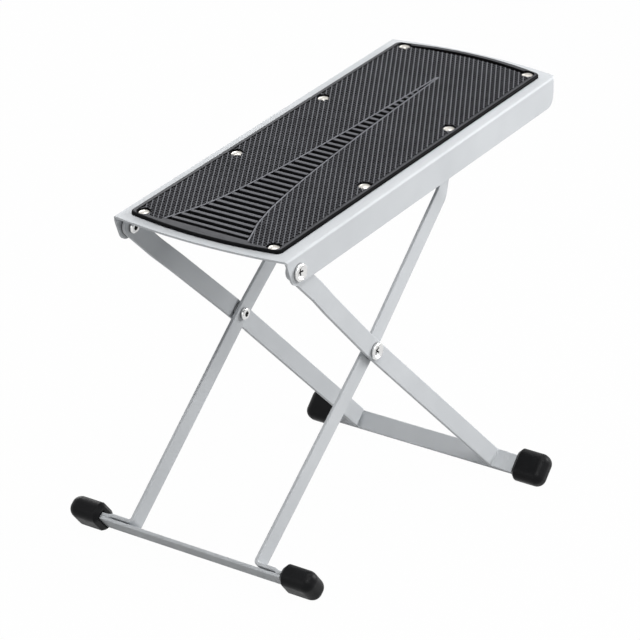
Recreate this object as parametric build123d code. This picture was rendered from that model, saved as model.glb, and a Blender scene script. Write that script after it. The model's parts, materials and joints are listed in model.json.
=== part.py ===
# Folding footrest for guitar players: a sheet-steel tray with a rubber tread mat, held up by
# two crossing strip-steel frames. All lengths are millimetres, +Z is up, the low end of the
# tray faces -Y, and X is the direction of every pivot axis.

from build123d import *
import math
import os

os.makedirs("parts", exist_ok=True)

# Angles above the floor, in the pose of the photograph
TRAY_TILT = 11.7
OUTER_SLOPE = 35.4
INNER_SLOPE = 47.9

# Tray pivot and crossing pivot
TRAY_PIVOT_Y = -126.12
TRAY_PIVOT_Z = 186.86
CROSS_DISTANCE = 123.5
CROSS_Y = TRAY_PIVOT_Y + CROSS_DISTANCE * math.cos(math.radians(OUTER_SLOPE))
CROSS_Z = TRAY_PIVOT_Z - CROSS_DISTANCE * math.sin(math.radians(OUTER_SLOPE))

# Strip steel of the legs and foot bars
STRIP_T = 2.2
STRIP_W = 12.0
STRIP_EDGE_R = 0.6
BEND_R = 1.2
SOFT_BEND_R = 20.0
PIN_R = 3.0
PIN_HOLE_R = 3.05
SIDE_GAP = 0.2
HEAD_BEYOND = 1.6

# Pivot rivets: head, its dish and cross recess, and the rolled tail with its bore
HEAD_R = 5.2
HEAD_HIGH = 2.3
HEAD_EDGE_R = 1.1
DISH_HALF = 3.9
DISH_DEEP = 1.6
CROSS_LONG = 4.6
CROSS_WIDE = 1.0
CROSS_DEEP = 0.7
TAIL_R = 3.7
TAIL_HIGH = 2.2
TAIL_EDGE_R = 1.1
BORE_R = 1.7
BORE_DEEP = 1.5
WASHER_R = 6.0

# Tray channel: arched ends, flanges turned down at both sides
TRAY_HALF = 58.5
TRAY_TOP = 10.5
TRAY_SHEET = 1.2
TRAY_FLANGE_LOW = -7.6
TRAY_BEND_R = 1.5
TRAY_FRONT = -11.2
TRAY_FRONT_MID = -15.7
TRAY_FRONT_R = 1.5
TRAY_REAR = 271.5
TRAY_REAR_MID = 277.4
TRAY_REAR_R = 3.0
SIDE_REACH = 70.0

# The flanges' ends: how much they lean back per millimetre of depth, and their rounded low corners
FRONT_LEAN = 0.33
FRONT_LOW_R = 7.0
REAR_LEAN = 0.23
REAR_LOW_R = 6.5

# Rubber mat on the tray, laid slightly askew
MAT_HALF = 50.9
MAT_FRONT = -5.2
MAT_FRONT_MID = -10.0
MAT_REAR = 265.8
MAT_REAR_MID = 272.4
MAT_CORNER_R = 3.0
MAT_EDGE_R = 0.9
MAT_FLOOR = 0.9
MAT_TOP = 2.1
MAT_BORDER = 3.3
MAT_ASKEW = -0.3
MAT_MIDDLE = (MAT_FRONT + MAT_REAR) / 2
RIVET_X = 44.0
RIVET_FIRST = -1.0
RIVET_PITCH = 88.0
RIVET_HEAD_R = 3.6
RIVET_HEAD_HIGH = 0.9
RIVET_ROOM = 0.2
RIVET_SHANK_R = 1.6
RIVET_TAIL_R = 2.8
RIVET_TAIL_HIGH = 1.0

# Leg stations: how far out the outside face of each strip is, along its length
OUTER_LEG_END = 305.7
OUTER_TOP_X = TRAY_HALF - 2.2
OUTER_MID_X = 53.6
OUTER_CROSS_X = 49.2
OUTER_FOOT_X = 50.8
INNER_LEG_END = 143.3
INNER_FOOT_X = 44.6
INNER_CROSS_X = OUTER_CROSS_X - STRIP_T - 1.2
INNER_HIGH_X = 42.6
INNER_TOP_X = 34.5

# The legs' outward tabs lie on the straight foot bars; near the leg each tab steps clear of its bar
TAB_STEP = 0.9
STEP_OUT = 59.5
STEP_IN = 57.0
STEP_BEND_R = 2.0

# Rubber feet: where each one starts across the footrest, and its size
REAR_CAP_X = 65.9
FRONT_CAP_X = 63.3
CAP_LONG = 21.6
CAP_THICK = 13.4
CAP_WIDE = 20.5
CAP_LIFT = 0.75
CAP_R = 5.8
CAP_BEVEL = 2.4
CAP_GRIP = 17.0
MOUTH_ROOM = 0.9
MOUTH_DEPTH = 3.0

# Height rod and the racks it stands under
ROD_R = 3.0
ROD_HEAD_R = 4.6
ROD_HEAD_HIGH = 1.8
ROD_HEAD_BEVEL = 0.7
ROD_ALONG = 151.5
ROD_TRAY_S = 206.3
ROD_TRAY_N = -1.0
RACK_X = 28.0
RACK_T = 2.0
RACK_FOOT = 11.0
RACK_FOOT_T = 1.6
RACK_TIP = ROD_TRAY_N + ROD_R + SIDE_GAP
NOTCH_R = 3.3
NOTCH_PITCH = 13.0
NOTCH_COUNT = 5
RACK_MARGIN = 8.0

LEG_BENDS = [SOFT_BEND_R] * 4 + [BEND_R] + [STEP_BEND_R] * 2

TRAY_FRAME = Location((0, TRAY_PIVOT_Y, TRAY_PIVOT_Z), (TRAY_TILT, 0, 0))
MAT_PLACE = Pos(0, MAT_MIDDLE, 0) * Rot(0, 0, MAT_ASKEW) * Pos(0, -MAT_MIDDLE, 0)
OUTER_FRAME = Location((0, TRAY_PIVOT_Y, TRAY_PIVOT_Z), (-OUTER_SLOPE, 0, 0))
INNER_FRAME = Location((0, CROSS_Y, CROSS_Z), (INNER_SLOPE, 0, 0))


def block(x0, x1, y0, y1, z0, z1):
    centre = Pos((x0 + x1) / 2, (y0 + y1) / 2, (z0 + z1) / 2)
    return centre * Box(x1 - x0, y1 - y0, z1 - z0)


def rod_x(radius, x0, x1, y=0.0, z=0.0):
    return Pos((x0 + x1) / 2, y, z) * Rot(0, 90, 0) * Cylinder(radius, x1 - x0)


def polygon(points):
    return make_face(Polyline(*points, close=True))


def prism(face, z0, z1):
    return Pos(0, 0, z0) * extrude(face, amount=z1 - z0)


def mirrored(solid):
    return mirror(solid, about=Plane.YZ)


def save(solid, name):
    export_step(solid, f"parts/{name}.step")


def offset_path(path, distance):
    """Shift a polyline sideways by distance, to its left, with mitred corners."""
    shifted = []
    last = len(path) - 1
    for i, (x, y) in enumerate(path):
        normals = []
        for a, b in ((i - 1, i), (i, i + 1)):
            if a < 0 or b > last:
                continue
            dx = path[b][0] - path[a][0]
            dy = path[b][1] - path[a][1]
            length = math.hypot(dx, dy)
            normals.append((-dy / length, dx / length))
        nx = sum(n[0] for n in normals) / len(normals)
        ny = sum(n[1] for n in normals) / len(normals)
        scale = distance / (nx * nx + ny * ny)
        shifted.append((x + nx * scale, y + ny * scale))
    return shifted


def bent_strip(path, side, radii):
    """Flat strip whose edge profile follows path, with a bend of the given inside radius at each corner."""
    back = offset_path(path, side * STRIP_T)
    outline = polygon(path + back[::-1])
    for i, radius in enumerate(radii, 1):
        into = (path[i][0] - path[i - 1][0], path[i][1] - path[i - 1][1])
        away = (path[i + 1][0] - path[i][0], path[i + 1][1] - path[i][1])
        turn = into[0] * away[1] - into[1] * away[0]
        inner, outer = (back[i], path[i]) if turn * side > 0 else (path[i], back[i])
        for corner, bend in ((inner, radius), (outer, radius + STRIP_T)):
            vertex = outline.vertices().sort_by_distance((corner[0], corner[1], 0))[0]
            outline = fillet(vertex, bend)
    return prism(outline, -STRIP_W / 2, STRIP_W / 2)


def rounded_head(strip, along, way):
    """Round the strip's end off about a pin that sits at distance along; way points to the strip."""
    head = rod_x(STRIP_W / 2, 0, 100, along)
    far = along + way * 400
    return strip & (head + block(0, 100, min(along, far), max(along, far), -STRIP_W / 2, STRIP_W / 2))


def soften(strip, along=None, way=1):
    """Round the strip's two long edges, and the rim of its round head at distance along."""
    rim = []
    for edge in strip.edges():
        beyond = 0.0
        if along is not None:
            beyond = max(0.0, (along - edge.position_at(0.5).Y) * way)
        out = math.hypot(beyond, edge.position_at(0.5).Z)
        if edge.length > STRIP_T + 0.05 and abs(out - STRIP_W / 2) < 0.01:
            rim.append(edge)
    return fillet(rim, STRIP_EDGE_R)


# Outer legs, joined by the rear foot bar

def outer_leg():
    path = [
        (OUTER_TOP_X, -HEAD_BEYOND - STRIP_W / 2),
        (OUTER_TOP_X, 30),
        (OUTER_MID_X, 52),
        (OUTER_CROSS_X, CROSS_DISTANCE - 8),
        (OUTER_CROSS_X, CROSS_DISTANCE + 8),
        (OUTER_FOOT_X, OUTER_LEG_END - TAB_STEP),
        (STEP_IN, OUTER_LEG_END - TAB_STEP),
        (STEP_OUT, OUTER_LEG_END),
        (REAR_CAP_X + CAP_GRIP, OUTER_LEG_END),
    ]
    leg = bent_strip(path, 1, LEG_BENDS)
    leg = soften(rounded_head(leg, -HEAD_BEYOND, 1), -HEAD_BEYOND)
    leg -= rod_x(PIN_HOLE_R, 0, 100)
    leg -= rod_x(PIN_R, 0, 100, CROSS_DISTANCE)
    return OUTER_FRAME * leg


def foot_bar(along, reach):
    return soften(bent_strip([(-reach, along), (reach, along)], 1, []))


# Inner legs, joined by the front foot bar and by the height rod

def inner_leg():
    path = [
        (INNER_TOP_X, ROD_ALONG + STRIP_W / 2),
        (INNER_TOP_X, 130),
        (INNER_HIGH_X, 106),
        (INNER_CROSS_X, 8),
        (INNER_CROSS_X, -8),
        (INNER_FOOT_X, TAB_STEP - INNER_LEG_END),
        (STEP_IN, TAB_STEP - INNER_LEG_END),
        (STEP_OUT, -INNER_LEG_END),
        (FRONT_CAP_X + CAP_GRIP, -INNER_LEG_END),
    ]
    leg = bent_strip(path, -1, LEG_BENDS)
    leg = soften(rounded_head(leg, ROD_ALONG, -1), ROD_ALONG, -1)
    leg -= rod_x(PIN_HOLE_R, 0, 100)
    leg -= rod_x(ROD_R, 0, 100, ROD_ALONG)
    return INNER_FRAME * leg


def height_rod():
    rod = rod_x(ROD_R, -INNER_TOP_X, INNER_TOP_X, ROD_ALONG)
    head = rod_x(ROD_HEAD_R, INNER_TOP_X, INNER_TOP_X + ROD_HEAD_HIGH, ROD_ALONG)
    rim = head.edges().filter_by(GeomType.CIRCLE).sort_by(Axis.X)[-1]
    head = chamfer(rim, ROD_HEAD_BEVEL)
    return INNER_FRAME * (rod + head + mirrored(head))


# Rubber feet: rounded caps with a bevelled open mouth, pushed over leg end and bar, with a small
# flat on the floor

def rubber_foot(frame, mouth_x, tab, way):
    """Cap over a leg's tab, whose outer face is at distance tab, and the foot bar beyond it."""
    centre = tab + way * (STRIP_T - TAB_STEP)
    low, high = sorted((tab, tab + way * 2 * STRIP_T))
    cap = block(mouth_x, mouth_x + CAP_LONG, centre - CAP_THICK / 2, centre + CAP_THICK / 2,
                CAP_LIFT - CAP_WIDE / 2, CAP_LIFT + CAP_WIDE / 2)
    mouth = cap.faces().sort_by(Axis.X)[0].edges()
    cap = fillet([e for e in cap.edges() if e not in mouth], CAP_R)
    cap = chamfer(cap.faces().sort_by(Axis.X)[0].edges(), CAP_BEVEL)
    room = STRIP_W / 2 + MOUTH_ROOM
    cap -= block(0, mouth_x + MOUTH_DEPTH, low - MOUTH_ROOM, high + MOUTH_ROOM, -room, room)
    cap -= block(0, mouth_x + CAP_GRIP, low, high, -STRIP_W / 2, STRIP_W / 2)
    cap = frame * cap
    return cap - block(0, 200, -300, 300, -20, 0)


# Pivot rivets: low head with a dished face and a cross recess outside, rolled hollow end inside

def pivot_rivet(head_x, tail_x, along):
    face_x = head_x + HEAD_HIGH
    head = rod_x(HEAD_R, head_x, face_x, along)
    rim = head.edges().filter_by(GeomType.CIRCLE).sort_by(Axis.X)[-1]
    head = fillet(rim, HEAD_EDGE_R)
    dish_r = (DISH_HALF ** 2 + DISH_DEEP ** 2) / (2 * DISH_DEEP)
    head -= Pos(face_x - DISH_DEEP + dish_r, along, 0) * Sphere(dish_r)
    low = face_x - DISH_DEEP - CROSS_DEEP
    for y_half, z_half in ((CROSS_LONG / 2, CROSS_WIDE / 2), (CROSS_WIDE / 2, CROSS_LONG / 2)):
        head -= block(low, face_x, along - y_half, along + y_half, -z_half, z_half)
    shank = rod_x(PIN_R, tail_x - TAIL_HIGH, head_x, along)
    tail = rod_x(TAIL_R, tail_x - TAIL_HIGH, tail_x, along)
    rim = tail.edges().filter_by(GeomType.CIRCLE).sort_by(Axis.X)[0]
    tail = fillet(rim, TAIL_EDGE_R)
    rivet = head + shank + tail
    return rivet - rod_x(BORE_R, tail_x - TAIL_HIGH - 1, tail_x + BORE_DEEP, along)


def washer(inner_x, outer_x, hole_r, along):
    ring = rod_x(WASHER_R, inner_x, outer_x, along)
    return ring - rod_x(hole_r, inner_x - 1, outer_x + 1, along)


# Tray channel

def plan_outline(half, front, front_mid, rear, rear_mid, front_r, rear_r):
    front_arc = ThreePointArc((-half, front), (0, front_mid), (half, front))
    right = Line((half, front), (half, rear))
    rear_arc = ThreePointArc((half, rear), (0, rear_mid), (-half, rear))
    left = Line((-half, rear), (-half, front))
    face = make_face([front_arc, right, rear_arc, left])
    ordered = face.vertices().sort_by(Axis.Y)
    face = fillet(ordered[:2], front_r)
    ordered = face.vertices().sort_by(Axis.Y)
    return fillet([v for v in ordered if v.Y > rear - 0.01 and abs(abs(v.X) - half) < 0.01], rear_r)


def flange_side():
    """Side view of the channel: its ends lean back below the top sheet and end in round corners."""
    top = TRAY_TOP - TRAY_BEND_R
    deep = top - TRAY_FLANGE_LOW
    beyond = TRAY_REAR_MID + 10
    face = polygon([
        (-beyond, top), (TRAY_FRONT, top), (TRAY_FRONT + FRONT_LEAN * deep, TRAY_FLANGE_LOW),
        (TRAY_REAR - REAR_LEAN * deep, TRAY_FLANGE_LOW), (TRAY_REAR, top), (beyond, top),
        (beyond, TRAY_TOP + 1), (-beyond, TRAY_TOP + 1),
    ])
    low = [v for v in face.vertices() if abs(v.Y - TRAY_FLANGE_LOW) < 0.01]
    front, rear = sorted(low, key=lambda v: v.X)
    face = fillet(front, FRONT_LOW_R)
    rear = face.vertices().sort_by_distance((rear.X, rear.Y, 0))[0]
    return fillet(rear, REAR_LOW_R)


def tray_shell():
    half = TRAY_HALF
    outer = polygon([(-half, TRAY_FLANGE_LOW), (half, TRAY_FLANGE_LOW), (half, TRAY_TOP),
                     (-half, TRAY_TOP)])
    outer = fillet(outer.vertices().sort_by(Axis.Y)[2:], TRAY_BEND_R)
    half -= TRAY_SHEET
    inner = polygon([(-half, -30), (half, -30), (half, TRAY_TOP - TRAY_SHEET),
                     (-half, TRAY_TOP - TRAY_SHEET)])
    inner = fillet(inner.vertices().sort_by(Axis.Y)[2:], TRAY_BEND_R - TRAY_SHEET)
    channel = Pos(0, 300, 0) * Rot(90, 0, 0) * extrude(outer - inner, amount=340)
    plan = plan_outline(TRAY_HALF + 0.001, TRAY_FRONT, TRAY_FRONT_MID, TRAY_REAR, TRAY_REAR_MID,
                        TRAY_FRONT_R, TRAY_REAR_R)
    channel &= prism(plan, -20, 20)
    channel &= Pos(-SIDE_REACH, 0, 0) * Plane.YZ.location * extrude(flange_side(), amount=2 * SIDE_REACH)
    channel -= rod_x(PIN_R, -SIDE_REACH, SIDE_REACH)
    for x, y in rivet_places():
        channel -= MAT_PLACE * Pos(x, y, TRAY_TOP) * Cylinder(RIVET_SHANK_R, 6)
    return TRAY_FRAME * channel


def rivet_places():
    return [(side * RIVET_X, RIVET_FIRST + RIVET_PITCH * k) for side in (-1, 1) for k in range(4)]


# Tread mat: sloping border, plain front band, a flared ladder of cross ribs in the middle and
# slanting ribs on both sides of it

LADDER = [(-3, 28.8), (18, 20.7), (36, 16.3), (55, 13.4), (78, 10.6), (105, 8.0), (143, 5.2),
          (180, 3.2), (208, 1.9), (232, 0.9)]
LADDER_TOP = 232.0
RUNG_FIRST = 1.3
RUNG_PITCH = 5.8
RUNG_WIDTH = 3.4
RAIL_WIDTH = 1.3
RIB_ANGLE = 30.0
RIB_STEP_X = 3.2
RIB_WIDTH = 1.35
FIELD_HALF = MAT_HALF - MAT_BORDER
FRONT_BAND = -2.8
BAND_HALF = 29.5
FIELD_INSET = 7.2


def ladder_half(s):
    """Half width of the ladder, outside its rails, at distance s along the tray."""
    if s <= LADDER[0][0]:
        return LADDER[0][1]
    for (s0, h0), (s1, h1) in zip(LADDER, LADDER[1:]):
        if s <= s1:
            return h0 + (h1 - h0) * (s - s0) / (s1 - s0)
    return 0.0


def arc_line(x, side, mid, half):
    """Position along the tray of an arched end line that is at side for x = half, mid for x = 0."""
    return mid + (side - mid) * (x / half) ** 2


def in_field(x, s):
    rear = arc_line(x, MAT_REAR - FIELD_INSET, MAT_REAR_MID - FIELD_INSET, MAT_HALF)
    front = arc_line(x, MAT_FRONT + MAT_BORDER, MAT_FRONT_MID + MAT_BORDER, MAT_HALF)
    inside = abs(x) < FIELD_HALF and front < s < rear
    ladder = s < LADDER_TOP and abs(x) < ladder_half(s) - 0.4
    band = s < FRONT_BAND and abs(x) < BAND_HALF
    rivet = min(math.hypot(x - a, s - b) for a, b in rivet_places()) < 4.0
    return inside and not ladder and not band and not rivet


def slanting_ribs():
    slope = math.tan(math.radians(RIB_ANGLE))
    step = 0.2
    across = RIB_WIDTH / 2
    nx = math.cos(math.radians(RIB_ANGLE)) * across
    ns = math.sin(math.radians(RIB_ANGLE)) * across
    ribs = []
    count = int(160 / RIB_STEP_X)
    for k in range(-14, 2 * count):
        foot = -FIELD_HALF + RIB_STEP_X * k
        run = []
        s = -12.0
        while s < 275:
            x = foot - slope * s
            if in_field(x, s):
                run.append((x, s))
            if run and (not in_field(x, s) or s + step >= 275):
                (x0, s0), (x1, s1) = run[0], run[-1]
                run = []
                if s1 - s0 > 2.5:
                    ribs.append([(x0 - nx, s0 - ns), (x0 + nx, s0 + ns),
                                 (x1 + nx, s1 + ns), (x1 - nx, s1 - ns)])
            s += step
    return ribs


def rail(side):
    outside = [(side * h, s) for s, h in LADDER]
    inside = [(side * max(h - RAIL_WIDTH, 0.02), s) for s, h in LADDER]
    return outside + inside[::-1]


def tread_mat():
    outline = plan_outline(MAT_HALF, MAT_FRONT, MAT_FRONT_MID, MAT_REAR, MAT_REAR_MID, MAT_CORNER_R,
                           MAT_CORNER_R)
    mat = prism(outline, 0, MAT_TOP)
    mat = fillet(mat.faces().sort_by(Axis.Z)[-1].edges(), MAT_EDGE_R)
    field = plan_outline(FIELD_HALF, MAT_FRONT + MAT_BORDER, MAT_FRONT_MID + MAT_BORDER,
                         MAT_REAR - MAT_BORDER, MAT_REAR_MID - MAT_BORDER, MAT_EDGE_R, MAT_EDGE_R)
    band = block(-BAND_HALF, BAND_HALF, -20, FRONT_BAND, 0, MAT_TOP + 1)
    mat -= prism(field, MAT_FLOOR, MAT_TOP + 1) - band
    pieces = [polygon(rail(side)) for side in (-1, 1)]
    s = RUNG_FIRST
    while s < 212:
        low = s - RUNG_WIDTH / 2
        high = s + RUNG_WIDTH / 2
        a = ladder_half(low) - 0.5
        b = ladder_half(high) - 0.5
        pieces.append(polygon([(-a, low), (a, low), (b, high), (-b, high)]))
        s += RUNG_PITCH
    a = ladder_half(s - 3) - 0.4
    pieces.append(polygon([(-a, s - 3), (a, s - 3), (0.3, LADDER_TOP), (-0.3, LADDER_TOP)]))
    pieces += [polygon(points) for points in slanting_ribs()]
    ribs = [prism(piece, MAT_FLOOR - 0.4, MAT_TOP) for piece in pieces]
    mat = mat.fuse(*ribs)
    for x, y in rivet_places():
        mat -= Pos(x, y, 0) * Cylinder(RIVET_SHANK_R, 8)
        mat -= Pos(x, y, MAT_FLOOR + MAT_TOP / 2) * Cylinder(RIVET_HEAD_R + RIVET_ROOM, MAT_TOP)
    return TRAY_FRAME * MAT_PLACE * Pos(0, 0, TRAY_TOP) * mat


def mat_rivets():
    """Low domed heads that sit on the mat's floor between the ribs; their tails grip the sheet."""
    base = TRAY_TOP + MAT_FLOOR
    under = TRAY_TOP - TRAY_SHEET
    ball_r = (RIVET_HEAD_R ** 2 + RIVET_HEAD_HIGH ** 2) / (2 * RIVET_HEAD_HIGH)
    dome = Pos(0, 0, base + RIVET_HEAD_HIGH - ball_r) * Sphere(ball_r)
    dome &= block(-5, 5, -5, 5, base, base + RIVET_HEAD_HIGH)
    low = under - RIVET_TAIL_HIGH
    shank = Pos(0, 0, (base + low) / 2) * Cylinder(RIVET_SHANK_R, base - low)
    tail = Pos(0, 0, (under + low) / 2) * Cylinder(RIVET_TAIL_R, RIVET_TAIL_HIGH)
    rivet = dome + shank + tail
    return TRAY_FRAME * MAT_PLACE * Compound(children=[Pos(x, y, 0) * rivet for x, y in rivet_places()])


# Racks: angle strips under the tray with a row of notches that the height rod stands in

def rack():
    top = TRAY_TOP - TRAY_SHEET
    start = ROD_TRAY_S - RACK_MARGIN
    end = ROD_TRAY_S + NOTCH_PITCH * (NOTCH_COUNT - 1) + RACK_MARGIN
    web = block(RACK_X - RACK_T / 2, RACK_X + RACK_T / 2, start, end, RACK_TIP, top)
    foot = block(RACK_X - RACK_FOOT, RACK_X + RACK_T / 2, start, end, top - RACK_FOOT_T, top)
    solid = web + foot
    for k in range(NOTCH_COUNT):
        s = ROD_TRAY_S + NOTCH_PITCH * k
        solid -= rod_x(NOTCH_R, RACK_X - RACK_FOOT - 1, RACK_X + RACK_T, s, RACK_TIP)
    return TRAY_FRAME * solid


parts = {}
parts["outer_leg_right"] = outer_leg()
parts["outer_leg_left"] = mirrored(parts["outer_leg_right"])
rear_bar = foot_bar(OUTER_LEG_END + STRIP_T, REAR_CAP_X + CAP_GRIP)
parts["rear_foot_bar"] = OUTER_FRAME * rear_bar
parts["rear_foot_right"] = rubber_foot(OUTER_FRAME, REAR_CAP_X, OUTER_LEG_END, 1)
parts["rear_foot_left"] = mirrored(parts["rear_foot_right"])

parts["inner_leg_right"] = inner_leg()
parts["inner_leg_left"] = mirrored(parts["inner_leg_right"])
front_bar = foot_bar(INNER_LEG_END + STRIP_T, FRONT_CAP_X + CAP_GRIP)
parts["front_foot_bar"] = INNER_FRAME * Rot(180, 0, 0) * front_bar
parts["front_foot_right"] = rubber_foot(INNER_FRAME, FRONT_CAP_X, -INNER_LEG_END, -1)
parts["front_foot_left"] = mirrored(parts["front_foot_right"])
parts["height_rod"] = height_rod()

cross_tail = INNER_CROSS_X - STRIP_T - SIDE_GAP
parts["cross_pivot_right"] = OUTER_FRAME * pivot_rivet(OUTER_CROSS_X, cross_tail, CROSS_DISTANCE)
parts["cross_pivot_left"] = mirrored(parts["cross_pivot_right"])
cross_ring = washer(INNER_CROSS_X + SIDE_GAP, OUTER_CROSS_X - STRIP_T, PIN_R, CROSS_DISTANCE)
parts["cross_washer_right"] = OUTER_FRAME * cross_ring
parts["cross_washer_left"] = mirrored(parts["cross_washer_right"])

parts["tray_shell"] = tray_shell()
parts["tread_mat"] = tread_mat()
parts["mat_rivets"] = mat_rivets()
parts["rack_right"] = rack()
parts["rack_left"] = mirrored(parts["rack_right"])
tray_tail = OUTER_TOP_X - STRIP_T - SIDE_GAP
parts["tray_pivot_right"] = TRAY_FRAME * pivot_rivet(TRAY_HALF, tray_tail, 0)
parts["tray_pivot_left"] = mirrored(parts["tray_pivot_right"])
tray_ring = washer(OUTER_TOP_X + SIDE_GAP, TRAY_HALF - TRAY_SHEET, PIN_R, 0)
parts["tray_washer_right"] = TRAY_FRAME * tray_ring
parts["tray_washer_left"] = mirrored(parts["tray_washer_right"])

for name, solid in parts.items():
    save(solid, name)

whole = Compound(children=[Compound(list(solid.solids())) for solid in parts.values()]).bounding_box()
print("cross pivot at y", round(CROSS_Y, 3), "z", round(CROSS_Z, 3))
print("low corner", [round(v, 2) for v in whole.min])
print("high corner", [round(v, 2) for v in whole.max])
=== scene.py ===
# Studio picture of a folding guitar footrest: its solids in their materials, the mat's fine
# tread, the floor, lamps and camera. The tread is drawn in millimetres in the tray's own axes:
# x across, s along and n up from the tray pivot. The scene itself is in metres.

import json
import math

import bmesh
import bpy
from mathutils import Matrix, Vector


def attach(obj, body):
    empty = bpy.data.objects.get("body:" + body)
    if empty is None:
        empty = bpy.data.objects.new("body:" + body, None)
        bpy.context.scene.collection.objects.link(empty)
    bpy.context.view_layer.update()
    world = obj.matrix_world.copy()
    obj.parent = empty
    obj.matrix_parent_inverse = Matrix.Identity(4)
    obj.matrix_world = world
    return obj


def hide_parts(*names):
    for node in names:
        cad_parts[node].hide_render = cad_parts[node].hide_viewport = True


MM = 0.001

# Camera: degrees, then the lens and film in millimetres, then its place from the tray pivot
VIEW_AZIMUTH = 32.595
VIEW_ELEVATION = 18.16
VIEW_ROLL = 4.43
FOCAL_LENGTH = 186.03
SENSOR = 36.0
DISTANCE = 1815.6
AIM_RIGHT = 59.64
AIM_UP = -39.54

# Tray and mat. The mat's ends are arched, so each has a place at its sides and one at its middle
TRAY_TILT = 11.7
TRAY_TOP = 10.5
MAT_THICK = 2.1
MAT_HALF = 50.9
MAT_FRONT = -5.2
MAT_FRONT_MID = -10.0
MAT_REAR = 265.8
MAT_REAR_MID = 272.4
MAT_CORNER = 3.0
SMALLEST_CORNER = 0.6
CORNER_SPREAD = 0.1
MAT_ASKEW = math.radians(0.3)
MAT_MIDDLE = (MAT_FRONT + MAT_REAR) / 2
MAT_FLOOR = 0.3
BORDER = 3.3
SHOULDER = 1.0
RIVET_X = 44.0
RIVET_FIRST = -1.0
RIVET_PITCH = 88.0
RIVET_CLEAR = 3.9
REAR_CLEAR = 6.3

# Section through the mat's border, as (inset from the outline, height), from its foot inwards
BORDER_SECTION = [(0.25, 0.0), (0.0, 0.25), (0.0, 1.4), (0.1, 1.75), (0.3, 1.95), (0.6, 2.06),
                  (SHOULDER, MAT_THICK), (BORDER - 0.4, MAT_THICK), (BORDER - 0.1, 1.85),
                  (BORDER + 0.1, MAT_FLOOR)]
SIDE_STEPS = 6
CROWN_STEPS = 7

# Ribs of the tread: a triangular grid, one direction high and two low
GRID = 3.2
RIB_ANGLE = 30.0
ROW = GRID * math.cos(math.radians(RIB_ANGLE))
RIB_BASE = 1.3
RIB_CROWN = 0.5
LOW_RIB_BASE = 0.9
LOW_RIB_CROWN = 0.5
LOW_RIB_TOP = 1.85
RIB_SUNK = 0.15
SHOULDER_DROP = 0.18
SHOULDER_OUT = 0.08
CREST_IN = 0.1
FIELD_MARGIN = 0.3
RAIL_MARGIN = 0.7
SHORTEST_RIB = 1.2
RUN_STEP = 0.1

# Flared ladder up the middle of the tread, as (s, half its width), with its rails and rungs
LADDER = [(-3, 28.8), (18, 20.7), (36, 16.3), (55, 13.4), (78, 10.6), (105, 8.0), (143, 5.2),
          (180, 3.2), (208, 1.9), (232, 0.9)]
LADDER_END = 232.0
RUNG_FIRST = 1.3
RUNG_PITCH = 5.8
RUNG_BASE = 3.1
RUNG_CROWN = 2.3
RUNG_GAP = 1.3
RUNG_LAST = 211.0
SHORTEST_RUNG = 0.5
RUNG_LOW = 0.02
RAIL_BASE = 1.4
RAIL_CROWN = 0.8
RAIL_HIGH = 0.05

# Smooth plate at the low end of the tread
FRONT_BAND = -2.8
FRONT_BAND_HALF = 29.5
FRONT_BAND_INSET = 3.0
FRONT_BAND_STEPS = 16
PLATE_EDGE = 0.22
PLATE_WALL_LOW = 0.25
SMOOTH_ANGLE = 35.0


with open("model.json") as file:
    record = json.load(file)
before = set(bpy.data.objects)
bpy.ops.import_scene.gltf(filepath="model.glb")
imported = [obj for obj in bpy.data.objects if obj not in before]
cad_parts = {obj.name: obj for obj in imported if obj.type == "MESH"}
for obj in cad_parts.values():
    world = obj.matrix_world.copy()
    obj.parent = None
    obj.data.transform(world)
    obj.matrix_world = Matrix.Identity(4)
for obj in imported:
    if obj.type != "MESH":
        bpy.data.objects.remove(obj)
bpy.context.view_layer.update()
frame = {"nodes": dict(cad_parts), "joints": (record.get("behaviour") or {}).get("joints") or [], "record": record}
joints = {joint["name"]: joint for joint in frame["joints"]}
PIVOT = Vector(joints["tray_hinge"]["pos_m"])
TILT = Matrix.Rotation(math.radians(TRAY_TILT), 3, "X")


def on_tray(x, s, n):
    """World place of a point in the tray's own axes, given in millimetres."""
    return PIVOT + TILT @ (Vector((x, s, n)) * MM)


# Node helpers for the materials

def new_material(name):
    material = bpy.data.materials.new(name)
    material.use_nodes = True
    tree = material.node_tree
    tree.nodes.clear()
    output = tree.nodes.new("ShaderNodeOutputMaterial")
    shader = tree.nodes.new("ShaderNodeBsdfPrincipled")
    tree.links.new(shader.outputs["BSDF"], output.inputs["Surface"])
    return material, tree, shader


def noise(tree, scale, detail):
    """Noise in object space; scale is in features per metre."""
    place = tree.nodes.new("ShaderNodeTexCoord")
    texture = tree.nodes.new("ShaderNodeTexNoise")
    texture.inputs["Scale"].default_value = scale
    texture.inputs["Detail"].default_value = detail
    tree.links.new(place.outputs["Object"], texture.inputs["Vector"])
    return texture.outputs["Fac"]


def ramp(tree, value, stops):
    """Colour ramp through (position, colour) stops; a single number stands for a grey."""
    node = tree.nodes.new("ShaderNodeValToRGB")
    elements = node.color_ramp.elements
    while len(elements) < len(stops):
        elements.new(0.5)
    for element, (position, colour) in zip(elements, stops):
        if isinstance(colour, (int, float)):
            colour = (colour, colour, colour)
        element.position = position
        element.color = (*colour, 1.0)
    tree.links.new(value, node.inputs["Fac"])
    return node.outputs["Color"]


def bump(tree, height, strength, distance):
    node = tree.nodes.new("ShaderNodeBump")
    node.inputs["Strength"].default_value = strength
    node.inputs["Distance"].default_value = distance
    tree.links.new(height, node.inputs["Height"])
    return node.outputs["Normal"]


# Materials. Noise scales are in features per metre, and bump depths in metres

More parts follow.
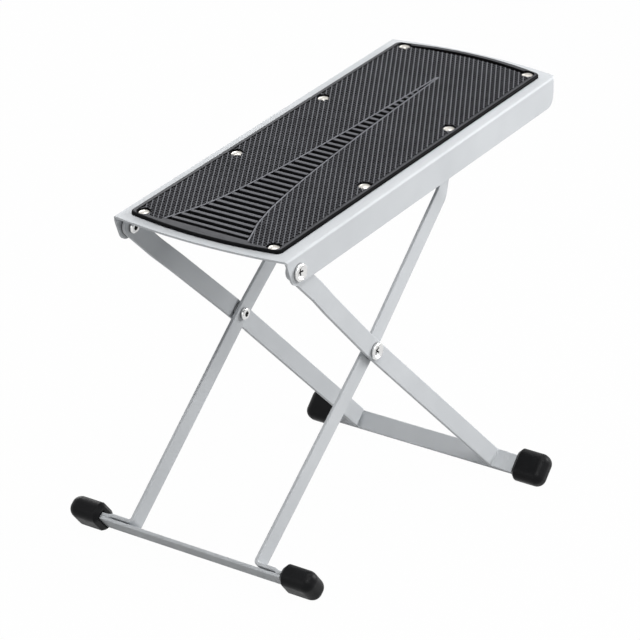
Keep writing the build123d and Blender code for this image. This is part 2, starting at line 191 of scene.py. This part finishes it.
PAINT_CLOUDS = 28.0
PAINT_GLOSS = 90.0
PAINT_PEEL = 900.0
PEEL_DEPTH = 0.0001
PAINT_SPECULAR = 0.15
RUBBER_CLOUDS = 60.0
RUBBER_GLOSS = 300.0
RUBBER_GRAIN = 4000.0
GRAIN_DEPTH = 0.0002
RUBBER_TINT = (0.95, 0.97, 1.08)
PLATE_CLOUDS = 220.0
PLATE_MARKS = 1500.0
MARK_DEPTH = 0.0002
# Reach of the painted shade in the recesses of plated parts, in metres
PAINTED_SHADE_REACH = 0.002


def painted_steel(name, low, high, roughness):
    """Silver-grey powder coat: a faint orange peel and slow changes of tone and gloss."""
    material, tree, shader = new_material(name)
    cloud = noise(tree, PAINT_CLOUDS, 2.0)
    tree.links.new(ramp(tree, cloud, [(0.3, low), (0.7, high)]), shader.inputs["Base Color"])
    gloss = noise(tree, PAINT_GLOSS, 3.0)
    spread = ramp(tree, gloss, [(0.3, roughness - 0.04), (0.7, roughness + 0.05)])
    tree.links.new(spread, shader.inputs["Roughness"])
    peel = noise(tree, PAINT_PEEL, 2.0)
    tree.links.new(bump(tree, peel, 0.01, PEEL_DEPTH), shader.inputs["Normal"])
    shader.inputs["Specular IOR Level"].default_value = PAINT_SPECULAR
    return material


def rubber_tone(level):
    """Cool near-black of the given level."""
    return tuple(level * share for share in RUBBER_TINT)


def moulded_rubber(name, low, high, roughness, specular):
    """Black moulded rubber with a fine grain and a little dust in its tone."""
    material, tree, shader = new_material(name)
    cloud = noise(tree, RUBBER_CLOUDS, 4.0)
    stops = [(0.3, rubber_tone(low)), (0.7, rubber_tone(high))]
    tree.links.new(ramp(tree, cloud, stops), shader.inputs["Base Color"])
    gloss = noise(tree, RUBBER_GLOSS, 3.0)
    spread = ramp(tree, gloss, [(0.3, roughness - 0.06), (0.7, roughness + 0.06)])
    tree.links.new(spread, shader.inputs["Roughness"])
    grain = noise(tree, RUBBER_GRAIN, 2.0)
    tree.links.new(bump(tree, grain, 0.12, GRAIN_DEPTH), shader.inputs["Normal"])
    shader.inputs["Specular IOR Level"].default_value = specular
    return material


def plated(name, low, high, roughness):
    """Bright plated steel: clear reflections broken by fine handling marks, and painted shade in its recesses."""
    material, tree, shader = new_material(name)
    cloud = noise(tree, PLATE_CLOUDS, 3.0)
    tone = ramp(tree, cloud, [(0.3, low), (0.7, high)])
    # Painted shade: the base colour darkens where ambient occlusion finds the surface hemmed in, as in a pivot's
    # dish and cross.
    hollow = tree.nodes.new("ShaderNodeAmbientOcclusion")
    hollow.inputs["Distance"].default_value = PAINTED_SHADE_REACH
    shade = ramp(tree, hollow.outputs["AO"], [(0.45, 0.04), (0.80, 1.0)])
    product = tree.nodes.new("ShaderNodeVectorMath")
    product.operation = "MULTIPLY"
    tree.links.new(tone, product.inputs[0])
    tree.links.new(shade, product.inputs[1])
    tree.links.new(product.outputs["Vector"], shader.inputs["Base Color"])
    marks = noise(tree, PLATE_MARKS, 4.0)
    spread = ramp(tree, marks, [(0.35, roughness), (0.75, roughness + 0.14)])
    tree.links.new(spread, shader.inputs["Roughness"])
    tree.links.new(bump(tree, marks, 0.04, MARK_DEPTH), shader.inputs["Normal"])
    shader.inputs["Metallic"].default_value = 1.0
    return material


PAINT = painted_steel("silver_paint", (0.56, 0.58, 0.60), (0.60, 0.62, 0.64), 0.50)
# The near-black mat_rubber also goes on the tread's sides, pits and floor as painted shade, while the greys below
# go on the tops.
MAT_RUBBER = moulded_rubber("mat_rubber", 0.004, 0.007, 0.55, 0.04)
MAT_WEB = moulded_rubber("mat_rubber_web", 0.046, 0.058, 0.50, 0.08)
MAT_LAND = moulded_rubber("mat_rubber_land", 0.046, 0.057, 0.50, 0.12)
MAT_RUNG = moulded_rubber("mat_rubber_rung", 0.088, 0.106, 0.45, 0.12)
MAT_CREST = moulded_rubber("mat_rubber_crest", 0.098, 0.122, 0.45, 0.12)
MAT_RAIL = moulded_rubber("mat_rubber_rail", 0.150, 0.180, 0.45, 0.12)
FOOT_RUBBER = moulded_rubber("foot_rubber", 0.005, 0.008, 0.42, 0.10)
CHROME = plated("pivot_plating", (0.70, 0.70, 0.70), (0.78, 0.78, 0.77), 0.12)
NICKEL = plated("rivet_plating", (0.50, 0.48, 0.45), (0.58, 0.56, 0.52), 0.26)
ZINC = plated("rod_plating", (0.58, 0.59, 0.60), (0.66, 0.66, 0.66), 0.28)

SLOT_MATERIALS = {
    "tray_paint": PAINT,
    "leg_paint": PAINT,
    "mat_rubber": MAT_RUBBER,
    "foot_rubber": FOOT_RUBBER,
    "pivot_chrome": CHROME,
    "rivet_nickel": NICKEL,
    "rod_steel": ZINC,
}


def dress_nodes():
    """Give every solid the material of its slot."""
    slots = {part["node"]: part["material_slot"] for part in frame["record"]["subparts"]}
    for name, node in frame["nodes"].items():
        material = SLOT_MATERIALS[slots[name]]
        for slot in node.material_slots:
            slot.material = material


# Tread mat. Its tones: black sides and pits, low ribs, smooth lands, rungs, rib crests, rails. The black on the
# tread's sides, pits and floor is painted shade.

BLACK, WEB, LAND, RUNG, CREST, RAIL = range(6)
TREAD_TONES = [MAT_RUBBER, MAT_WEB, MAT_LAND, MAT_RUNG, MAT_CREST, MAT_RAIL]


def arc_height(x, side, mid, half):
    """Place along the tray of an arched end at x: side at its corners and mid at its middle."""
    return mid + (side - mid) * (x / half) ** 2


def mat_outline(inset, samples=72, corner_samples=7):
    """Closed outline of the mat, moved inwards by inset: arched ends and rounded corners."""
    half = MAT_HALF - inset
    corner = max(MAT_CORNER - inset, SMALLEST_CORNER)
    points = []
    ends = ((MAT_FRONT + inset, MAT_FRONT_MID + inset, -1), (MAT_REAR - inset, MAT_REAR_MID - inset, 1))
    for side, mid, way in ends:
        slope = math.atan(2 * abs(side - mid) / half)
        flat = half - corner * (1 + math.sin(slope) * CORNER_SPREAD)
        edge = arc_height(flat, side, mid, half)
        row = [(-half, edge - way * corner)]
        for k in range(1, corner_samples):
            turn = math.radians(90) * k / corner_samples
            x = -half + corner * (1 - math.cos(turn))
            base = arc_height(x, side, mid, half)
            drop = corner * (1 - math.sin(turn))
            row.append((x, base - way * drop))
        for k in range(samples + 1):
            x = -flat + 2 * flat * k / samples
            row.append((x, arc_height(x, side, mid, half)))
        row += [(-x, s) for x, s in reversed(row[:corner_samples])]
        points += row if way < 0 else row[::-1]
    return points


def skin_loops(bm, loops, tone):
    """Quads between successive closed loops of vertices, all with the same number of points."""
    count = len(loops[0])
    for lower, upper in zip(loops, loops[1:]):
        for k in range(count):
            after = (k + 1) % count
            face = bm.faces.new((lower[k], lower[after], upper[after], upper[k]))
            face.material_index = tone


def tray_vertex(bm, x, s, height):
    """Vertex of the mat, which lies slightly askew on the tray."""
    turned_x = x + MAT_ASKEW * (s - MAT_MIDDLE)
    turned_s = s - MAT_ASKEW * x
    return bm.verts.new(on_tray(turned_x, turned_s, TRAY_TOP + height))


def clear_of_rivets(x, s, clear):
    """Push a point of the border's inner edge straight away from a rivet nearer than clear."""
    for a, b in rivet_places():
        away = math.hypot(x - a, s - b)
        if away < clear:
            return a + (x - a) * clear / away, b + (s - b) * clear / away
    return x, s


def add_base(bm):
    """Mat slab with its raised smooth border, closed below and at the tread's floor."""
    innermost = BORDER_SECTION[-1][0]
    loops = []
    for inset, height in BORDER_SECTION:
        clear = RIVET_CLEAR + innermost - inset if inset > SHOULDER else 0
        outline = [clear_of_rivets(x, s, clear) for x, s in mat_outline(inset)]
        loops.append([tray_vertex(bm, x, s, height) for x, s in outline])
    # Black on the outer wall, the inner slope and the tread's floor is painted shade; the land between takes its
    # grey.
    skin_loops(bm, loops[:SIDE_STEPS + 1], BLACK)
    skin_loops(bm, loops[SIDE_STEPS:CROWN_STEPS + 1], LAND)
    skin_loops(bm, loops[CROWN_STEPS:], BLACK)
    bm.faces.new(loops[0][::-1])
    bm.faces.new(loops[-1])


def add_bar(bm, centre, base, crown, top, tone):
    """Rib along the polyline centre: a wide foot, sloping sides and a softly rounded crown."""
    rings = []
    last = len(centre) - 1
    for i, (x, s) in enumerate(centre):
        before = centre[max(i - 1, 0)]
        after = centre[min(i + 1, last)]
        dx = after[0] - before[0]
        ds = after[1] - before[1]
        length = math.hypot(dx, ds)
        side = (ds / length, -dx / length)
        foot = (base / 2, MAT_FLOOR - RIB_SUNK)
        shoulder = (crown / 2 + SHOULDER_OUT, top - SHOULDER_DROP)
        crest = (crown / 2 - CREST_IN, top)
        section = [(-foot[0], foot[1]), (-shoulder[0], shoulder[1]), (-crest[0], crest[1]),
                   crest, shoulder, foot]
        rings.append([tray_vertex(bm, x + side[0] * a, s + side[1] * a, h) for a, h in section])
    for first, second in zip(rings, rings[1:]):
        for k in range(len(first)):
            after = (k + 1) % len(first)
            face = bm.faces.new((first[k], second[k], second[after], first[after]))
            # Black on the rib's sides is painted shade; the crown takes the rib's own grey.
            face.material_index = tone if k in (1, 2, 3) else BLACK
    bm.faces.new(rings[0])
    bm.faces.new(rings[-1][::-1])


def ladder_half(s):
    """Half the width of the ladder at s, 0 beyond its tip."""
    if s <= LADDER[0][0]:
        return LADDER[0][1]
    for (s0, h0), (s1, h1) in zip(LADDER, LADDER[1:]):
        if s <= s1:
            return h0 + (h1 - h0) * (s - s0) / (s1 - s0)
    return 0.0


def rivet_places():
    return [(side * RIVET_X, RIVET_FIRST + RIVET_PITCH * k) for side in (-1, 1) for k in range(4)]


def in_field(x, s):
    """Whether a point of the tread lies in one of the two ribbed fields beside the ladder."""
    half = MAT_HALF - BORDER + FIELD_MARGIN
    rear = arc_height(x, MAT_REAR - REAR_CLEAR, MAT_REAR_MID - REAR_CLEAR, MAT_HALF)
    front = arc_height(x, MAT_FRONT + BORDER, MAT_FRONT_MID + BORDER, MAT_HALF) - FIELD_MARGIN
    if abs(x) > half or s < front or s > rear:
        return False
    if s < LADDER_END and abs(x) < ladder_half(s) - RAIL_MARGIN:
        return False
    if s < FRONT_BAND and abs(x) < FRONT_BAND_HALF:
        return False
    return min(math.hypot(x - a, s - b) for a, b in rivet_places()) > RIVET_CLEAR


def runs_inside(start, direction, length):
    """Stretches of a straight line that lie inside the ribbed fields."""
    runs = []
    begin = None
    inside = None
    for k in range(int(length / RUN_STEP) + 1):
        x = start[0] + direction[0] * k * RUN_STEP
        s = start[1] + direction[1] * k * RUN_STEP
        if in_field(x, s):
            begin = begin or (x, s)
            inside = (x, s)
        elif begin:
            runs.append((begin, inside))
            begin = None
    if begin:
        runs.append((begin, inside))
    return [run for run in runs if math.dist(*run) > SHORTEST_RIB]


def add_field_ribs(bm):
    """Three families of parallel ribs that cross in common points."""
    angle = math.radians(RIB_ANGLE)
    half = MAT_HALF
    reach = (MAT_REAR_MID - MAT_FRONT_MID) / math.cos(angle)
    drift = reach * math.sin(angle)
    count = int((2 * half + drift) / GRID) + 1
    for k in range(count):
        start = (-half + GRID * k, MAT_FRONT_MID)
        for run in runs_inside(start, (-math.sin(angle), math.cos(angle)), reach):
            add_bar(bm, run, RIB_BASE, RIB_CROWN, MAT_THICK, CREST)
    for k in range(count):
        start = (-half + GRID * (k - int(drift / GRID)), MAT_FRONT_MID)
        for run in runs_inside(start, (math.sin(angle), math.cos(angle)), reach):
            add_bar(bm, run, LOW_RIB_BASE, LOW_RIB_CROWN, LOW_RIB_TOP, WEB)
    for k in range(int((MAT_REAR_MID - MAT_FRONT_MID) / ROW)):
        start = (-half, MAT_FRONT_MID + ROW * k)
        for run in runs_inside(start, (1, 0), 2 * half):
            add_bar(bm, run, LOW_RIB_BASE, LOW_RIB_CROWN, LOW_RIB_TOP, WEB)


def add_ladder(bm):
    """Two curved rails that meet at a tip, and the rungs between them."""
    for side in (-1, 1):
        centre = []
        for s, half in LADDER:
            centre.append((side * max(half - RAIL_CROWN / 2, 0.0), s))
        add_bar(bm, centre, RAIL_BASE, RAIL_CROWN, MAT_THICK + RAIL_HIGH, RAIL)
    s = RUNG_FIRST
    while s < RUNG_LAST:
        half = ladder_half(s) - RUNG_GAP
        if half > SHORTEST_RUNG:
            rung = [(-half, s), (half, s)]
            add_bar(bm, rung, RUNG_BASE, RUNG_CROWN, MAT_THICK - RUNG_LOW, RUNG)
        s += RUNG_PITCH


def add_plate(bm, outline):
    """Flat raised plate of the given outline, level with the ribs, with a softened edge."""
    centre_x = sum(x for x, s in outline) / len(outline)
    centre_s = sum(s for x, s in outline) / len(outline)
    section = [(0.0, MAT_FLOOR - RIB_SUNK), (0.0, MAT_THICK - PLATE_WALL_LOW),
               (PLATE_EDGE, MAT_THICK - RUNG_LOW)]
    loops = []
    for inset, height in section:
        loop = []
        for x, s in outline:
            away = math.hypot(x - centre_x, s - centre_s)
            shrink = 1 - inset / away
            inner_x = centre_x + (x - centre_x) * shrink
            inner_s = centre_s + (s - centre_s) * shrink
            loop.append(tray_vertex(bm, inner_x, inner_s, height))
        loops.append(loop)
    # Black on the plate's wall is painted shade.
    skin_loops(bm, loops[:2], BLACK)
    skin_loops(bm, loops[1:], LAND)
    bm.faces.new(loops[0][::-1])
    bm.faces.new(loops[-1]).material_index = LAND


def front_band_outline():
    """Outline of the smooth plate at the low end, arched like the mat's own end."""
    side = MAT_FRONT + FRONT_BAND_INSET
    mid = MAT_FRONT_MID + FRONT_BAND_INSET
    points = []
    for k in range(FRONT_BAND_STEPS + 1):
        x = -FRONT_BAND_HALF + 2 * FRONT_BAND_HALF * k / FRONT_BAND_STEPS
        points.append((x, arc_height(x, side, mid, MAT_HALF)))
    return points + [(FRONT_BAND_HALF, FRONT_BAND), (-FRONT_BAND_HALF, FRONT_BAND)]


def finish_mesh(name, bm, materials, body):
    """Make the mesh an object that rides on its body."""
    bmesh.ops.recalc_face_normals(bm, faces=bm.faces)
    mesh = bpy.data.meshes.new(name)
    bm.to_mesh(mesh)
    bm.free()
    piece = bpy.data.objects.new(name, mesh)
    bpy.context.scene.collection.objects.link(piece)
    for material in materials:
        mesh.materials.append(material)
    mesh.polygons.foreach_set("use_smooth", [True] * len(mesh.polygons))
    mesh.set_sharp_from_angle(angle=math.radians(SMOOTH_ANGLE))
    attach(piece, body)
    return piece


def build_mat():
    bm = bmesh.new()
    add_base(bm)
    add_field_ribs(bm)
    add_ladder(bm)
    add_plate(bm, front_band_outline())
    mat = finish_mesh("ribbed_mat", bm, TREAD_TONES, "tray")
    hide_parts("tread_mat")


# Studio: pale floor, white surroundings, soft lamps and the camera

FLOOR_SIZE = 12.0
FLOOR_GREY = 0.45
FLOOR_GLOW = 0.985
WORLD_STRENGTH = 0.07


def seen_directly(tree):
    """1 for rays that show the surroundings: straight from the camera or mirrored in gloss."""
    path = tree.nodes.new("ShaderNodeLightPath")
    either = tree.nodes.new("ShaderNodeMath")
    either.operation = "MAXIMUM"
    tree.links.new(path.outputs["Is Camera Ray"], either.inputs[0])
    tree.links.new(path.outputs["Is Glossy Ray"], either.inputs[1])
    return either.outputs["Value"]


def build_floor():
    bm = bmesh.new()
    bmesh.ops.create_grid(bm, x_segments=1, y_segments=1, size=FLOOR_SIZE / 2)
    mesh = bpy.data.meshes.new("floor")
    bm.to_mesh(mesh)
    bm.free()
    floor = bpy.data.objects.new("floor", mesh)
    bpy.context.scene.collection.objects.link(floor)
    material = bpy.data.materials.new("floor_white")
    material.use_nodes = True
    tree = material.node_tree
    tree.nodes.clear()
    output = tree.nodes.new("ShaderNodeOutputMaterial")
    diffuse = tree.nodes.new("ShaderNodeBsdfDiffuse")
    diffuse.inputs["Color"].default_value = (FLOOR_GREY, FLOOR_GREY, FLOOR_GREY, 1)
    glow = tree.nodes.new("ShaderNodeEmission")
    glow.inputs["Color"].default_value = (1, 1, 1, 1)
    mix = tree.nodes.new("ShaderNodeMixShader")
    share = tree.nodes.new("ShaderNodeMath")
    share.operation = "MULTIPLY"
    share.inputs[1].default_value = FLOOR_GLOW
    tree.links.new(seen_directly(tree), share.inputs[0])
    tree.links.new(share.outputs["Value"], mix.inputs["Fac"])
    tree.links.new(diffuse.outputs["BSDF"], mix.inputs[1])
    tree.links.new(glow.outputs["Emission"], mix.inputs[2])
    tree.links.new(mix.outputs["Shader"], output.inputs["Surface"])
    mesh.materials.append(material)


def build_world():
    world = bpy.data.worlds.new("studio")
    bpy.context.scene.world = world
    world.use_nodes = True
    tree = world.node_tree
    tree.nodes.clear()
    output = tree.nodes.new("ShaderNodeOutputWorld")
    background = tree.nodes.new("ShaderNodeBackground")
    background.inputs["Color"].default_value = (1, 1, 1, 1)
    strength = tree.nodes.new("ShaderNodeMapRange")
    strength.inputs["To Min"].default_value = WORLD_STRENGTH
    strength.inputs["To Max"].default_value = 1.0
    tree.links.new(seen_directly(tree), strength.inputs["Value"])
    tree.links.new(strength.outputs["Result"], background.inputs["Strength"])
    tree.links.new(background.outputs["Background"], output.inputs["Surface"])


# Lamps: name, place and target in metres, size in metres, watts
LAMPS = [
    ("top_lamp", (0.0, 0.0, 1.9), (0.0, 0.0, 0.1), 1.2, 14.6),
    ("key_lamp", (0.95, -1.0, 1.5), (0.0, 0.0, 0.12), 0.7, 16.0),
    ("front_lamp", (-0.5, -1.7, 0.5), (0.0, 0.0, 0.12), 0.8, 3.4),
    ("back_lamp", (1.1, 1.2, 1.0), (0.0, 0.0, 0.12), 0.8, 30.0),
    ("left_lamp", (-1.5, 1.0, 0.8), (0.0, 0.0, 0.12), 0.8, 12.0),
]


def build_lamps():
    for name, place, target, size, watts in LAMPS:
        light = bpy.data.lights.new(name, "AREA")
        light.shape = "SQUARE"
        light.size = size
        light.energy = watts
        lamp = bpy.data.objects.new(name, light)
        lamp.location = place
        aim = Vector(target) - Vector(place)
        lamp.rotation_euler = aim.to_track_quat("-Z", "Y").to_euler()
        bpy.context.scene.collection.objects.link(lamp)


def build_camera():
    azimuth = math.radians(VIEW_AZIMUTH)
    elevation = math.radians(VIEW_ELEVATION)
    roll = math.radians(VIEW_ROLL)
    reach = math.cos(elevation)
    back = Vector((math.sin(azimuth) * reach, -math.cos(azimuth) * reach, math.sin(elevation)))
    level = Vector((math.cos(azimuth), math.sin(azimuth), 0.0))
    upright = back.cross(level)
    right = math.cos(roll) * level + math.sin(roll) * upright
    up = -math.sin(roll) * level + math.cos(roll) * upright
    data = bpy.data.cameras.new("camera")
    data.lens = FOCAL_LENGTH
    data.sensor_width = SENSOR
    camera = bpy.data.objects.new("camera", data)
    place = PIVOT + (back * DISTANCE + right * AIM_RIGHT + up * AIM_UP) * MM
    turn = Matrix((right, up, back)).transposed()
    camera.matrix_world = Matrix.Translation(place) @ turn.to_4x4()
    bpy.context.scene.collection.objects.link(camera)
    bpy.context.scene.camera = camera


dress_nodes()
build_mat()
build_floor()
build_world()
build_lamps()
build_camera()
bpy.context.scene.view_settings.view_transform = "Standard"
